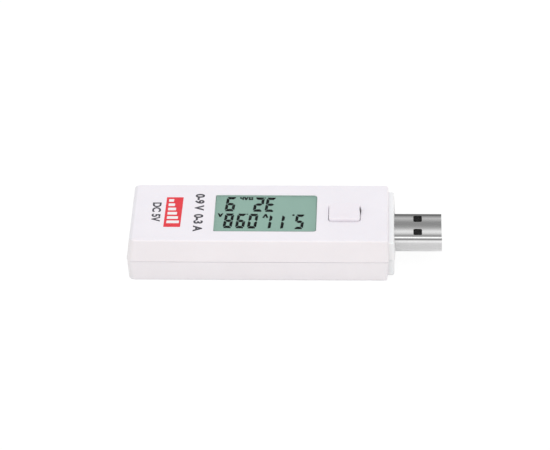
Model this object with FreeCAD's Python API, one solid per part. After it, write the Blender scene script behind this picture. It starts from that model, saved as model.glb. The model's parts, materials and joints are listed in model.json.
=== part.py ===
import FreeCAD, Part
import math
import os
from FreeCAD import Vector

# In-line power meter stick: a male type-A plug on one end, a female type-A socket on the other,
# a reflective segment display and one push key on the top face.
#
# Frame: millimetres.  +X runs along the stick towards the plug, +Y across it, +Z up out of the
# display face.  The origin is the centre of the flat underside.
#
# Each piece is built by the function that bears its file name; the list at the end saves them.

# ----------------------------------------------------------------------------- driving sizes
# Body
X_SOCK, X_PLUG = -33.25, 33.50   # ends of the body at the parting line, without nose and plug
BODY_W = 28.8                    # width at the parting line
BODY_H = 11.7
PART_Z = 5.6                     # height of the parting line
LEAN_TOP_SOCK = 0.76             # how far the upper half leans in at the socket end
LEAN_TOP_PLUG = 0.30             # ... at the plug end
LEAN_TOP_NEAR = 0.38             # ... at the -Y long side
LEAN_TOP_FAR = 0.24              # ... at the +Y long side
LEAN_LOW_SOCK = 0.38             # the same for the lower half
LEAN_LOW_PLUG = 0.35
LEAN_LOW_Y = 0.14
REVEAL = 0.10                    # the lower half is this much smaller all round
CORNER_R, CORNER_R_PLUG = 1.6, 0.7   # upright corners at the socket end and the plug end
TOP_EDGE_R, LOW_EDGE_R = 0.48, 0.36
WALL = 1.40
INNER_CORNER_R = 0.8
GROOVE_H, GROOVE_D = 0.16, 0.16  # shadow line along the parting line

# Nose: the collar in front of the body, round the plug
NOSE_L = 1.53
NOSE_W = 26.1
NOSE_Y = -0.12                   # its centre across the body
NOSE_LEAN = 0.38                 # how far its upper half leans back
NOSE_REVEAL = 0.16               # its lower half is this much smaller all round
NOSE_Z0, NOSE_Z1 = 0.92, 10.55
NOSE_ROOT_X = X_PLUG - 1.0       # it starts inside the body

# Board
BOARD_Z0, BOARD_T = 2.5, 1.2
BOARD_X, BOARD_Y = 31.35, 12.3   # half sizes
BOARD_Z1 = BOARD_Z0 + BOARD_T
LEG_Z0 = 1.9                     # lower end of every soldered leg

# Plug and socket, both standing on the board
SHEET_T = 0.30                   # sheet of both metal shells
FIT = 0.03                       # gap between a shell and its insulator
PLUG_W, PLUG_H, PLUG_LEN = 12.0, 4.5, 11.94   # section and exposed length
PLUG_R = 0.64                    # outer corner radius of its section
PLUG_REAR = 28.2
SOCK_W, SOCK_H = 13.1, 5.72
SOCK_MOUTH, SOCK_REAR = -32.50, -18.8
SOCK_TONGUE = -30.95             # front edge of its tongue, set back from the mouth
SOCK_BLOCK = -20.55              # a plug goes in as far as this block
PIN_Y = (-3.5, -1.0, 1.0, 3.5)   # the four contacts of plug and socket

# Display opening and key opening
WIN_X, WIN_Y, WIN_LX, WIN_LY = 1.81, -0.10, 26.2, 18.3
WIN_R_PLUG, WIN_R_SOCK = 0.9, 0.45   # corner radii on the plug side and socket side
KEY_X, KEY_Y, KEY_LX, KEY_LY, KEY_R = 22.03, -0.15, 8.19, 8.5, 1.1
KEY_GAP = 0.13
KEY_RISE = 1.0                   # key top above the body's top

# Screw bosses
BOSS_X, BOSS_Y = (-16.6, 20.0), 10.4
SCREW_R = 0.85

# Derived
SIDES = (-1, 1)
HALF_W = BODY_W / 2
NOSE_X1 = X_PLUG + NOSE_L
PLUG_X1 = NOSE_X1 + PLUG_LEN
CEIL = BODY_H - WALL
KEY_TOP = BODY_H + KEY_RISE
HALF_PLUG, HALF_SOCK = PLUG_W / 2, SOCK_W / 2
PLUG_Z0, PLUG_Z1 = BOARD_Z1, BOARD_Z1 + PLUG_H
SOCK_Z0, SOCK_Z1 = BOARD_Z1, BOARD_Z1 + SOCK_H
BOSSES = [(x, side * BOSS_Y) for x in BOSS_X for side in SIDES]


# ----------------------------------------------------------------------------- helpers
def box(x0, x1, y0, y1, z0, z1):
    return Part.makeBox(x1 - x0, y1 - y0, z1 - z0, Vector(x0, y0, z0))


def cyl(x, y, z0, z1, radius):
    return Part.makeCylinder(radius, z1 - z0, Vector(x, y, z0), Vector(0, 0, 1))


def fuse(shapes):
    return shapes[0].fuse(shapes[1:])


def on_side(side, near, far):
    """Two distances from the middle, as an ascending pair on the side -1 or 1."""
    return sorted((side * near, side * far))


def edges_along(shape, axis, pick=None):
    """Straight edges that run along an axis (0, 1 or 2)."""
    found = []
    for edge in shape.Edges:
        if len(edge.Vertexes) != 2:
            continue
        run = edge.Vertexes[1].Point - edge.Vertexes[0].Point
        if run.Length < 1e-6:
            continue
        if abs(run[axis]) / run.Length > 0.99 and (pick is None or pick(edge)):
            found.append(edge)
    return found


def edges_at(shape, z):
    """Edges that lie level at one height."""
    return [e for e in shape.Edges
            if abs(e.BoundBox.ZMin - z) < 1e-3 and abs(e.BoundBox.ZMax - z) < 1e-3]


def rbox(x0, x1, y0, y1, z0, z1, radius, axis=2):
    """A box whose four edges along an axis are rounded."""
    block = box(x0, x1, y0, y1, z0, z1)
    return block.makeFillet(radius, edges_along(block, axis))


def round_end(block, middle_x, end, radius):
    """Round the upright edges on the plug side (end 1) or socket side (end -1) of middle_x."""
    return block.makeFillet(radius, edges_along(
        block, 2, lambda e: (e.CenterOfMass.x - middle_x) * end > 0))


def prism(points, axis, length):
    """Polygon given as 3-D points, pushed along an axis vector."""
    return Part.Face(Part.makePolygon(points + [points[0]])).extrude(Vector(*axis) * length)


def frustum(low_rect, z0, high_rect, z1):
    """Solid with plane faces between two rectangles (x0, x1, y0, y1) at two heights."""
    def corners(rect, z):
        x0, x1, y0, y1 = rect
        return [Vector(x0, y0, z), Vector(x1, y0, z), Vector(x1, y1, z), Vector(x0, y1, z)]

    low, high = corners(low_rect, z0), corners(high_rect, z1)
    loops = [low, high]
    for i in range(4):
        j = (i + 1) % 4
        loops.append([low[i], low[j], high[j], high[i]])
    faces = [Part.Face(Part.makePolygon(loop + [loop[0]])) for loop in loops]
    solid = Part.Solid(Part.Shell(faces))
    # The shell may come out facing inwards.
    return solid if solid.Volume > 0 else solid.reversed()


def save(name, shape):
    solids = shape.Solids
    assert solids, name
    for solid in solids:
        assert solid.isValid() and solid.Volume > 0, name
    piece = solids[0] if len(solids) == 1 else Part.makeCompound(solids)
    piece.exportStep("parts/%s.step" % name)


# ----------------------------------------------------------------------------- outer form
# Each outline function gives the rectangle (x0, x1, y0, y1) at a height.
def upper_outline(z):
    k = (z - PART_Z) / (BODY_H - PART_Z)
    return (X_SOCK + LEAN_TOP_SOCK * k, X_PLUG - LEAN_TOP_PLUG * k,
            -HALF_W + LEAN_TOP_NEAR * k, HALF_W - LEAN_TOP_FAR * k)


def lower_outline(z):
    k = (PART_Z - z) / PART_Z
    return (X_SOCK + LEAN_LOW_SOCK * k + REVEAL, X_PLUG - LEAN_LOW_PLUG * k - REVEAL,
            -HALF_W + LEAN_LOW_Y * k + REVEAL, HALF_W - LEAN_LOW_Y * k - REVEAL)


def nose_upper_outline(z):
    k = (z - PART_Z) / (NOSE_Z1 - PART_Z)
    half = NOSE_W / 2 - 0.06 * k
    return NOSE_ROOT_X, NOSE_X1 - NOSE_LEAN * k, NOSE_Y - half, NOSE_Y + half


def nose_lower_outline(z):
    k = (PART_Z - z) / (PART_Z - NOSE_Z0)
    half = NOSE_W / 2 - 0.05 * k - NOSE_REVEAL
    return NOSE_ROOT_X, NOSE_X1 - 0.03 * k - NOSE_REVEAL, NOSE_Y - half, NOSE_Y + half


def rounded_wire(rect, z, sock_r, plug_r):
    """Rounded rectangle at one height; sock_r on its low-X corners, plug_r on the high-X ones."""
    x0, x1, y0, y1 = rect
    diag = math.sqrt(0.5)
    plug_d, sock_d = plug_r * diag, sock_r * diag
    # start, middle and end of each corner arc
    arcs = [((x1 - plug_r, y0), (x1 - plug_r + plug_d, y0 + plug_r - plug_d), (x1, y0 + plug_r)),
            ((x1, y1 - plug_r), (x1 - plug_r + plug_d, y1 - plug_r + plug_d), (x1 - plug_r, y1)),
            ((x0 + sock_r, y1), (x0 + sock_r - sock_d, y1 - sock_r + sock_d), (x0, y1 - sock_r)),
            ((x0, y0 + sock_r), (x0 + sock_r - sock_d, y0 + sock_r - sock_d), (x0 + sock_r, y0))]
    edges = []
    for i, arc in enumerate(arcs):
        start, middle, end = [Vector(x, y, z) for x, y in arc]
        following = Vector(*arcs[(i + 1) % 4][0], z)
        edges.append(Part.Arc(start, middle, end).toShape())
        edges.append(Part.LineSegment(end, following).toShape())
    return Part.Wire(edges)


def drafted(outline, z0, z1, sock_r, plug_r, inset=0.0):
    """Leaning-sided block with rounded upright corners between two heights."""
    wires = []
    for z in (z0, z1):
        x0, x1, y0, y1 = outline(z)
        rect = (x0 + inset, x1 - inset, y0 + inset, y1 - inset)
        wires.append(rounded_wire(rect, z, sock_r, plug_r))
    return Part.makeLoft(wires, True, True)


def upper_body():
    body = drafted(upper_outline, PART_Z, BODY_H, CORNER_R, CORNER_R_PLUG)
    body = body.makeFillet(TOP_EDGE_R, edges_at(body, BODY_H))
    nose = drafted(nose_upper_outline, PART_Z, NOSE_Z1, 0.6, 0.6)
    nose = nose.makeFillet(0.42, edges_at(nose, NOSE_Z1))
    return body.fuse(nose).removeSplitter()


def lower_body():
    body = drafted(lower_outline, 0.0, PART_Z, CORNER_R - REVEAL, CORNER_R_PLUG - REVEAL)
    body = body.makeFillet(LOW_EDGE_R, edges_at(body, 0.0))
    nose = drafted(nose_lower_outline, NOSE_Z0, PART_Z, 0.6, 0.55)
    nose = nose.makeFillet(0.35, edges_at(nose, NOSE_Z0))
    return body.fuse(nose).removeSplitter()


# ----------------------------------------------------------------------------- shared shell cuts
def plug_opening():
    gap = 0.12
    return rbox(X_PLUG - 4, NOSE_X1 + 1, -HALF_PLUG - gap, HALF_PLUG + gap,
                PLUG_Z0 - gap, PLUG_Z1 + gap, PLUG_R, axis=0)


def socket_opening():
    gap = 0.15
    return rbox(X_SOCK - 1, X_SOCK + 4, -HALF_SOCK - gap, HALF_SOCK + gap,
                SOCK_Z0 - gap, SOCK_Z1 + gap, 0.5, axis=0)


def inset_box(inset, z0, z1):
    """Box set in from the body's size at the parting line."""
    return box(X_SOCK + inset, X_PLUG - inset, -HALF_W + inset, HALF_W - inset, z0, z1)


def inset_rbox(inset, z0, z1, radius):
    block = inset_box(inset, z0, z1)
    return block.makeFillet(radius, edges_along(block, 2))


# Lip on the lower half, rebate in the upper half; snap beads on the lip's long sides.
LIP_OUT, LIP_IN, LIP_Z1 = 0.75, 1.38, PART_Z + 0.80
LIP_R, LIP_GAP = 1.2, 0.06
BEAD_X, BEAD_L = (-22.0, -2.0, 12.0), 6.0
BEAD_Y = HALF_W - LIP_OUT        # outer face of the lip
BEAD_PLACES = [(x, side) for x in BEAD_X for side in SIDES]


def snap_bead(x, side):
    # profile: distance beyond the lip's face, height above the parting line
    profile = [(-0.1, 0.22), (0.20, 0.42), (-0.1, 0.66)]
    points = [Vector(x - BEAD_L / 2, side * (BEAD_Y + out), PART_Z + up) for out, up in profile]
    return prism(points, (1, 0, 0), BEAD_L)


def bead_pocket(x, side):
    half = BEAD_L / 2 + 0.2
    return box(x - half, x + half, *on_side(side, BEAD_Y - 0.3, BEAD_Y + 0.27),
               PART_Z + 0.14, PART_Z + 0.72)


def shadow_groove():
    """Narrow step at the top of the lower half, nose included."""
    z0, z1 = PART_Z - 1, PART_Z + 1
    keep = inset_box(REVEAL + GROOVE_D, z0, z1)
    keep = round_end(keep, 0, -1, CORNER_R - 0.3)
    keep = round_end(keep, 0, 1, CORNER_R_PLUG - 0.25)
    inset = NOSE_REVEAL + GROOVE_D
    half = NOSE_W / 2 - inset
    nose_keep = rbox(X_PLUG - 2, NOSE_X1 - inset, NOSE_Y - half, NOSE_Y + half, z0, z1, 0.45)
    slab = box(-200, 200, -200, 200, PART_Z - GROOVE_H, PART_Z + 0.5)
    return slab.cut(fuse([keep, nose_keep]))


def window_block(inset, z0, z1):
    """Block of the display opening's shape, set in all round."""
    half_x, half_y = WIN_LX / 2 - inset, WIN_LY / 2 - inset
    block = box(WIN_X - half_x, WIN_X + half_x, WIN_Y - half_y, WIN_Y + half_y, z0, z1)
    block = round_end(block, WIN_X, 1, WIN_R_PLUG - inset)
    return round_end(block, WIN_X, -1, WIN_R_SOCK - inset)


def key_block(inset, z0, z1, radius):
    """Block of the key opening's size, set in all round."""
    half_x, half_y = KEY_LX / 2 - inset, KEY_LY / 2 - inset
    return rbox(KEY_X - half_x, KEY_X + half_x, KEY_Y - half_y, KEY_Y + half_y, z0, z1, radius)


def display_box(half_x, half_y, z0, z1, radius=0):
    """Block centred on the display in X and on the body in Y."""
    bounds = (WIN_X - half_x, WIN_X + half_x, -half_y, half_y, z0, z1)
    return rbox(*bounds, radius) if radius else box(*bounds)


# ----------------------------------------------------------------------------- shells
POCKET_Z, FRAME_POCKET_Z = 11.20, 10.78   # ceilings of the window and display frame pockets


def upper_shell():
    shell = upper_body().cut([
        drafted(upper_outline, PART_Z, CEIL, INNER_CORNER_R, INNER_CORNER_R, WALL),
        inset_rbox(LIP_OUT - LIP_GAP, PART_Z - 1, LIP_Z1 + 0.1, LIP_R + LIP_GAP),
        window_block(0, CEIL - 1, BODY_H + 1),
        display_box(14.45, 10.45, CEIL - 1, POCKET_Z, 0.6),
        display_box(15.9, 12.15, CEIL - 1, FRAME_POCKET_Z, 0.5),
        key_block(0, CEIL - 1, BODY_H + 1, KEY_R),
        plug_opening(),
        socket_opening(),
    ] + [bead_pocket(*place) for place in BEAD_PLACES])

    root = CEIL + 0.4             # bosses, gussets and ribs run into the ceiling
    bosses = [cyl(x, y, BOARD_Z1, root, 1.9) for x, y in BOSSES]
    pilots = [cyl(x, y, BOARD_Z1 - 1, 8.9, SCREW_R + 0.01) for x, y in BOSSES]
    gussets = [box(x - 0.4, x + 0.4, *on_side(side, 12.2, 13.2), 7.2, root)
               for x in BOSS_X for side in SIDES]
    # cross ribs that end just above the socket and the plug
    ribs = [box(-30.2, -29.2, -5.2, 5.2, SOCK_Z1 + 0.02, root),
            box(-23.4, -22.4, -5.2, 5.2, SOCK_Z1 + 0.02, root),
            box(29.6, 30.5, -5.4, 5.4, PLUG_Z1 + 0.02, root)]
    shell = shell.fuse(bosses + gussets + ribs).cut(pilots).removeSplitter()

    # fine chamfers round the two top openings
    rims = [e for e in edges_at(shell, BODY_H)
            if WIN_X - 14 < e.CenterOfMass.x < KEY_X + 4.3 and abs(e.CenterOfMass.y) < 9.5]
    return shell.makeChamfer(0.12, rims)


def lower_shell():
    cavity = drafted(lower_outline, WALL, PART_Z, INNER_CORNER_R, INNER_CORNER_R, WALL - REVEAL)
    shell = lower_body().cut([cavity, shadow_groove()])

    lip = inset_rbox(LIP_OUT, PART_Z - 0.6, LIP_Z1, LIP_R)
    lip = lip.cut(inset_rbox(LIP_IN, PART_Z - 1.5, LIP_Z1 + 1, 0.7))
    # the lip stops either side of the socket and the plug
    sock_y, plug_y = HALF_SOCK + 0.35, HALF_PLUG + 0.35
    lip = lip.cut([box(X_SOCK - 1, X_SOCK + 3, -sock_y, sock_y, PART_Z, 9),
                   box(X_PLUG - 3, X_PLUG + 2, -plug_y, plug_y, PART_Z, 9)])

    beads = [snap_bead(*place) for place in BEAD_PLACES]
    post_places = ((-28.9, 10.3), (-9.0, 11.0), (9.0, 11.0), (27.6, 10.3))
    root = WALL - 0.4
    posts = [cyl(x, side * y, root, BOARD_Z0, 1.1) for x, y in post_places for side in SIDES]
    ribs = [box(x, x + 0.8, -12.95, 12.95, root, WALL + 0.35) for x in (-12.0, 11.2)]
    shell = shell.fuse([lip] + beads + posts + ribs)
    return shell.cut([plug_opening(), socket_opening()]).removeSplitter()


# ----------------------------------------------------------------------------- display
LENS_Z0, LENS_FLANGE_Z1, LENS_TOP = 10.80, 11.10, BODY_H - 0.10
GLASS_T = 0.50
REFLECTOR_T = 0.2
POLARISER_Z1 = 10.72
FRONT_Z1 = POLARISER_Z1 - 0.18
FRONT_Z0 = FRONT_Z1 - GLASS_T
REAR_Z1 = FRONT_Z0 - 0.02        # the liquid-crystal gap
REAR_Z0 = REAR_Z1 - GLASS_T
FRAME_X, FRAME_Y = 15.7, 12.0    # half sizes
# locating pins at two opposite corners
FRAME_PINS = [(WIN_X - FRAME_X + 0.9, 11.2), (WIN_X + FRAME_X - 0.9, -11.2)]


def display_window():
    flange = display_box(14.3, 10.3, LENS_Z0, LENS_FLANGE_Z1, 0.5)
    lens = flange.fuse(window_block(0.08, LENS_Z0 + 0.1, LENS_TOP)).removeSplitter()
    return lens.makeChamfer(0.06, edges_at(lens, LENS_TOP))


def window_adhesive():
    sheet = display_box(14.2, 10.2, LENS_FLANGE_Z1, POCKET_Z, 0.5)
    return sheet.cut(rbox(WIN_X - 13.3, WIN_X + 13.3, -9.62, 9.1, 10.5, POCKET_Z + 1, 0.8))


def display_front_polariser():
    return display_box(13.9, 9.9, FRONT_Z1, POLARISER_Z1, 0.2)


def display_front_glass():
    return display_box(14.8, 11.5, FRONT_Z0, FRONT_Z1)


def display_rear_glass():
    return display_box(14.8, 9.5, REAR_Z0, REAR_Z1)


def display_reflector():
    return display_box(13.9, 8.8, REAR_Z0 - REFLECTOR_T, REAR_Z0, 0.2)


def strip_boxes(half_x, y_in, y_out, z0, z1):
    """Two long boxes, one along each long side of the display."""
    return [box(WIN_X - half_x, WIN_X + half_x, *on_side(side, y_in, y_out), z0, z1)
            for side in SIDES]


def display_frame():
    z0, z1 = BOARD_Z1 - 1, POLARISER_Z1 + 1
    frame = display_box(FRAME_X, FRAME_Y, BOARD_Z1, POLARISER_Z1, 0.4)
    glass_seat = display_box(14.9, 11.6, REAR_Z0, z1)
    open_middle = display_box(14.1, 9.0, z0, z1)
    frame = frame.cut([glass_seat, open_middle] + strip_boxes(13.6, 9.7, 11.3, z0, z1))
    pins = [cyl(x, y, BOARD_Z1 - 0.9, BOARD_Z1 + 0.5, 0.45) for x, y in FRAME_PINS]
    return frame.fuse(pins).removeSplitter()


def elastomer_strips():
    return fuse(strip_boxes(13.5, 9.75, 11.25, BOARD_Z1, FRONT_Z0))


# ----------------------------------------------------------------------------- key and switch
SWITCH_HALF = 3.0
SWITCH_Z1 = BOARD_Z1 + 3.3       # top of the switch base
COVER_Z1 = SWITCH_Z1 + 0.25
PLUNGER_Z1 = 8.70
FOOT_X = (KEY_X - 2.2, KEY_X + 2.2)
TERMINAL_W, TERMINAL_T = 0.7, 0.2
SWITCH_PINS = [(KEY_X + dx, side * (SWITCH_HALF + TERMINAL_T / 2))
               for dx in (-2.25, 2.25) for side in SIDES]


def key_cap():
    cap = key_block(KEY_GAP, 10.0, KEY_TOP + 0.6, KEY_R - KEY_GAP)
    crown_r = 60.0                # shallow crown on the key's top
    cap = cap.common(Part.makeSphere(crown_r, Vector(KEY_X, KEY_Y, KEY_TOP - crown_r)))
    cap = cap.makeFillet(0.45, [e for e in cap.Edges if e.BoundBox.ZMin > KEY_TOP - 0.6
                                and e.BoundBox.ZLength < 0.5])
    flange_x0 = KEY_X - KEY_LX / 2 + KEY_GAP - 0.06
    flange = rbox(flange_x0, KEY_X + 4.95, -5.1, 5.1, 9.55, 10.25, 0.4)
    hollow = key_block(KEY_GAP + 1.1, 9.0, KEY_TOP - 1.2, 0.3)
    stem = cyl(KEY_X, 0, PLUNGER_Z1 + 0.02, KEY_TOP - 0.8, 1.5)
    webs = [box(KEY_X - half_x, KEY_X + half_x, -half_y, half_y, 9.55, KEY_TOP - 0.9)
            for half_x, half_y in ((3.4, 0.35), (0.35, 3.6))]
    return cap.fuse(flange).cut(hollow).fuse([stem] + webs).removeSplitter()


def switch_block(z0, z1):
    return rbox(KEY_X - SWITCH_HALF, KEY_X + SWITCH_HALF, -SWITCH_HALF, SWITCH_HALF, z0, z1, 0.25)


def switch_base():
    base = switch_block(BOARD_Z1, SWITCH_Z1).cut(cyl(KEY_X, 0, 4.3, 9, 2.5))
    feet = [cyl(x, 0, BOARD_Z1 - 0.8, BOARD_Z1 + 0.1, 0.35) for x in FOOT_X]
    return base.fuse(feet).removeSplitter()


def switch_cover():
    plate = switch_block(SWITCH_Z1, COVER_Z1)
    plate = plate.cut(cyl(KEY_X, 0, SWITCH_Z1 - 1, SWITCH_Z1 + 1, 1.85))
    tabs = []
    for side in SIDES:
        x0, x1 = on_side(side, SWITCH_HALF, SWITCH_HALF + 0.2)
        tabs.append(box(KEY_X + x0, KEY_X + x1, -1.0, 1.0, 4.4, COVER_Z1))
    return plate.fuse(tabs).removeSplitter()


def switch_plunger():
    plunger = fuse([cyl(KEY_X, 0, 5.9, PLUNGER_Z1, 1.72),
                    cyl(KEY_X, 0, 5.6, 6.95, 2.35),
                    cyl(KEY_X, 0, 4.80, 6.0, 0.8)]).removeSplitter()
    return plunger.makeChamfer(0.15, edges_at(plunger, PLUNGER_Z1))


def switch_dome():
    """Thin shallow cap of a hollow sphere."""
    rim_r, rise, rim_z, thickness = 2.25, 0.42, 4.32, 0.07
    sphere_r = (rim_r * rim_r + rise * rise) / (2 * rise)
    centre = Vector(KEY_X, 0, rim_z + rise - sphere_r)
    hollow = Part.makeSphere(sphere_r, centre).cut(Part.makeSphere(sphere_r - thickness, centre))
    return hollow.common(cyl(KEY_X, 0, rim_z, rim_z + 1, rim_r))


def terminal(x, y, z0, z1):
    return box(x - TERMINAL_W / 2, x + TERMINAL_W / 2, y - TERMINAL_T / 2, y + TERMINAL_T / 2,
               z0, z1)


def switch_terminals():
    return Part.makeCompound([terminal(x, y, LEG_Z0, 4.6) for x, y in SWITCH_PINS])


# ----------------------------------------------------------------------------- shell tabs, legs
# Soldered tabs of the metal shells: (low X, side, outer Y of the shell)
TAB_L = 1.6
PLUG_TABS = [(29.0, side, HALF_PLUG) for side in SIDES]
SOCK_TABS = [(x, side, HALF_SOCK) for x in (-29.9, -22.6) for side in SIDES]

# Contact legs: low X of each row, and centres of the board holes
LEG_T = 0.25
PLUG_LEG_X = 27.7
SOCK_LEG_X = SOCK_REAR + 0.5 - LEG_T
PLUG_PINS = [(27.82, y) for y in PIN_Y]
SOCK_PINS = [(SOCK_LEG_X + LEG_T / 2, y) for y in PIN_Y]


def tab_rect(tab, grow_x=0.0, grow_y=0.0):
    """Plan rectangle of a shell tab, grown all round."""
    x, side, outer_y = tab
    y0, y1 = on_side(side, outer_y - SHEET_T, outer_y)
    return x - grow_x, x + TAB_L + grow_x, y0 - grow_y, y1 + grow_y


def contact_leg(x, y, z0, z1):
    return box(x, x + LEG_T, y - 0.3, y + 0.3, z0, z1)


# ----------------------------------------------------------------------------- plug
LATCH_X0, LATCH_X1 = 39.68, 41.88             # the four latch windows
LATCH_Y, LATCH_HALF_Y, LATCH_SHIFT_Y = 3.28, 1.50, -0.20
SEAM_X0, SEAM_X1, SEAM_STEP = 36.2, 38.0, 0.8   # dovetail in the seam
SEAM_GAP = 0.03                               # half the seam's width
PLUG_TONGUE_Z1 = 5.85
INSULATOR_X0 = 28.45


def plug_seam():
    """Butt seam with one dovetail on the underside."""
    rects = [(PLUG_REAR - 1, SEAM_X0, -SEAM_GAP, SEAM_GAP),
             (SEAM_X0 - SEAM_GAP, SEAM_X0 + SEAM_GAP, -SEAM_STEP, SEAM_GAP),
             (SEAM_X0, SEAM_X1, -SEAM_STEP - SEAM_GAP, -SEAM_STEP + SEAM_GAP),
             (SEAM_X1 - SEAM_GAP, SEAM_X1 + SEAM_GAP, -SEAM_STEP - SEAM_GAP, SEAM_GAP),
             (SEAM_X1, PLUG_X1 + 1, -SEAM_GAP, SEAM_GAP)]
    return fuse([box(*rect, PLUG_Z0 - 1, PLUG_Z0 + 0.6) for rect in rects])


def plug_shell():
    shell = rbox(PLUG_REAR, PLUG_X1, -HALF_PLUG, HALF_PLUG, PLUG_Z0, PLUG_Z1, PLUG_R, axis=0)
    shell = shell.makeChamfer(0.10, [e for e in shell.Edges if e.BoundBox.XMin > PLUG_X1 - 1e-3])
    inner_y = HALF_PLUG - SHEET_T
    shell = shell.cut(rbox(PLUG_REAR - 1, PLUG_X1 + 1, -inner_y, inner_y,
                           PLUG_Z0 + SHEET_T, PLUG_Z1 - SHEET_T, PLUG_R - SHEET_T, axis=0))
    for side in SIDES:
        y = side * LATCH_Y + LATCH_SHIFT_Y
        for z in (PLUG_Z1, PLUG_Z0):
            shell = shell.cut(rbox(LATCH_X0, LATCH_X1, y - LATCH_HALF_Y, y + LATCH_HALF_Y,
                                   z - 1, z + 1, 0.45))
    shell = shell.cut(plug_seam())
    tabs = [box(*tab_rect(tab), LEG_Z0, 5.0) for tab in PLUG_TABS]
    return shell.fuse(tabs).removeSplitter()


def plug_slot_end(y):
    """Slot end at the plug's tip; the two outer slots reach further."""
    return PLUG_X1 - (1.2 if abs(y) > 2 else 2.2)


def plug_insulator():
    z0 = PLUG_Z0 + SHEET_T + FIT
    tongue = box(INSULATOR_X0, PLUG_X1 - 0.45, -5.42, 5.42, z0, PLUG_TONGUE_Z1)
    tip = [e for e in tongue.Edges if e.BoundBox.XMin > PLUG_X1 - 0.46
           and e.BoundBox.ZLength < 1e-3 and e.CenterOfMass.z > 5.5]
    tongue = tongue.makeChamfer(0.3, tip)
    half_y = HALF_PLUG - SHEET_T - FIT
    block = rbox(INSULATOR_X0, NOSE_X1 - 0.1, -half_y, half_y,
                 z0, PLUG_Z1 - SHEET_T - FIT, 0.3, axis=0)
    slots = [box(27, plug_slot_end(y), y - 0.52, y + 0.52, 5.58, 5.9) for y in PIN_Y]
    return tongue.fuse(block).cut(slots).removeSplitter()


def plug_contacts():
    contacts = []
    for y in PIN_Y:
        end = plug_slot_end(y) - 0.1
        strip = box(PLUG_LEG_X, end, y - 0.5, y + 0.5, 5.60, 5.87)
        strip = strip.makeChamfer(0.1, [e for e in strip.Edges if e.BoundBox.XMin > end - 1e-3
                                        and e.CenterOfMass.z > 5.86])
        leg = contact_leg(PLUG_LEG_X, y, LEG_Z0, 5.75)
        contacts.append(strip.fuse(leg).removeSplitter())
    return Part.makeCompound(contacts)


# ----------------------------------------------------------------------------- socket
SPRING_Y = 3.3                   # latch springs either side of the middle
SOCK_TONGUE_Z0, SOCK_TONGUE_Z1 = 6.60, 8.44


def spring_cut(y, z):
    """U-shaped cut that leaves a spring tongue in the sheet."""
    outer = box(-31.6, -25.0, y - 1.15, y + 1.15, z - 0.6, z + 0.6)
    return outer.cut(box(-31.4, -24.0, y - 0.95, y + 0.95, z - 0.7, z + 0.7))


def spring_dimple(y, sheet_z, outward):
    """Dimple pointing into the socket; outward is 1 on the roof and -1 on the floor."""
    radius, depth = 1.2, 0.28
    inner_z = sheet_z - outward * SHEET_T
    ball = Part.makeSphere(radius, Vector(-28.5, y, inner_z + outward * (radius - depth)))
    z0, z1 = sorted((inner_z - outward * 0.5, sheet_z - outward * 0.05))
    return ball.common(box(-30, -27, y - 0.85, y + 0.85, z0, z1))


def socket_shell():
    inner_y = HALF_SOCK - SHEET_T
    inner_z0, inner_z1 = SOCK_Z0 + SHEET_T, SOCK_Z1 - SHEET_T
    outer = rbox(SOCK_MOUTH, SOCK_REAR, -HALF_SOCK, HALF_SOCK, SOCK_Z0, SOCK_Z1, 0.5, axis=0)
    shell = outer.cut(rbox(SOCK_MOUTH - 1, SOCK_REAR - SHEET_T, -inner_y, inner_y,
                           inner_z0, inner_z1, 0.25, axis=0))
    # the mouth's inner edge is broken
    mouth = [e for e in shell.Edges if e.BoundBox.XMax < SOCK_MOUTH + 1e-3
             and abs(e.CenterOfMass.y) <= inner_y + 1e-3
             and inner_z0 - 1e-3 <= e.CenterOfMass.z <= inner_z1 + 1e-3]
    shell = shell.makeChamfer(0.14, mouth)
    for z in (SOCK_Z0, SOCK_Z1):
        for side in SIDES:
            shell = shell.cut(spring_cut(side * SPRING_Y, z))
    dimples = [spring_dimple(side * SPRING_Y, sheet_z, outward) for side in SIDES
               for sheet_z, outward in ((SOCK_Z1, 1), (SOCK_Z0, -1))]
    tabs = [box(*tab_rect(tab), LEG_Z0, 4.9) for tab in SOCK_TABS]
    # tail opening at the rear for the contacts
    shell = shell.cut(box(SOCK_REAR - 1, SOCK_REAR + 1, -4.6, 4.6, SOCK_Z0 - 1, 8.3))
    return shell.fuse(dimples + tabs).removeSplitter()


def socket_insulator():
    z0 = SOCK_TONGUE_Z0
    tongue = box(SOCK_TONGUE, SOCK_REAR - 0.4, -5.55, 5.55, z0, SOCK_TONGUE_Z1)
    tip = [e for e in tongue.Edges if e.BoundBox.XMax < SOCK_TONGUE + 0.01
           and e.BoundBox.ZLength < 1e-3]
    tongue = tongue.makeChamfer(0.35, tip)
    inset = SHEET_T + FIT
    block = rbox(SOCK_BLOCK, SOCK_REAR - inset, -HALF_SOCK + inset, HALF_SOCK - inset,
                 SOCK_Z0 + inset, SOCK_Z1 - inset, 0.22, axis=0)
    front_slots = [box(SOCK_TONGUE + 0.85, SOCK_BLOCK + 1.0, y - 0.56, y + 0.56,
                       z0 - 0.2, z0 + 0.62) for y in PIN_Y]
    rear_slots = [box(SOCK_BLOCK - 1.0, SOCK_REAR + 1, y - 0.56, y + 0.56,
                      z0 - 0.02, z0 + 0.62) for y in PIN_Y]
    return tongue.fuse(block).cut(front_slots).cut(rear_slots).removeSplitter()


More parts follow.
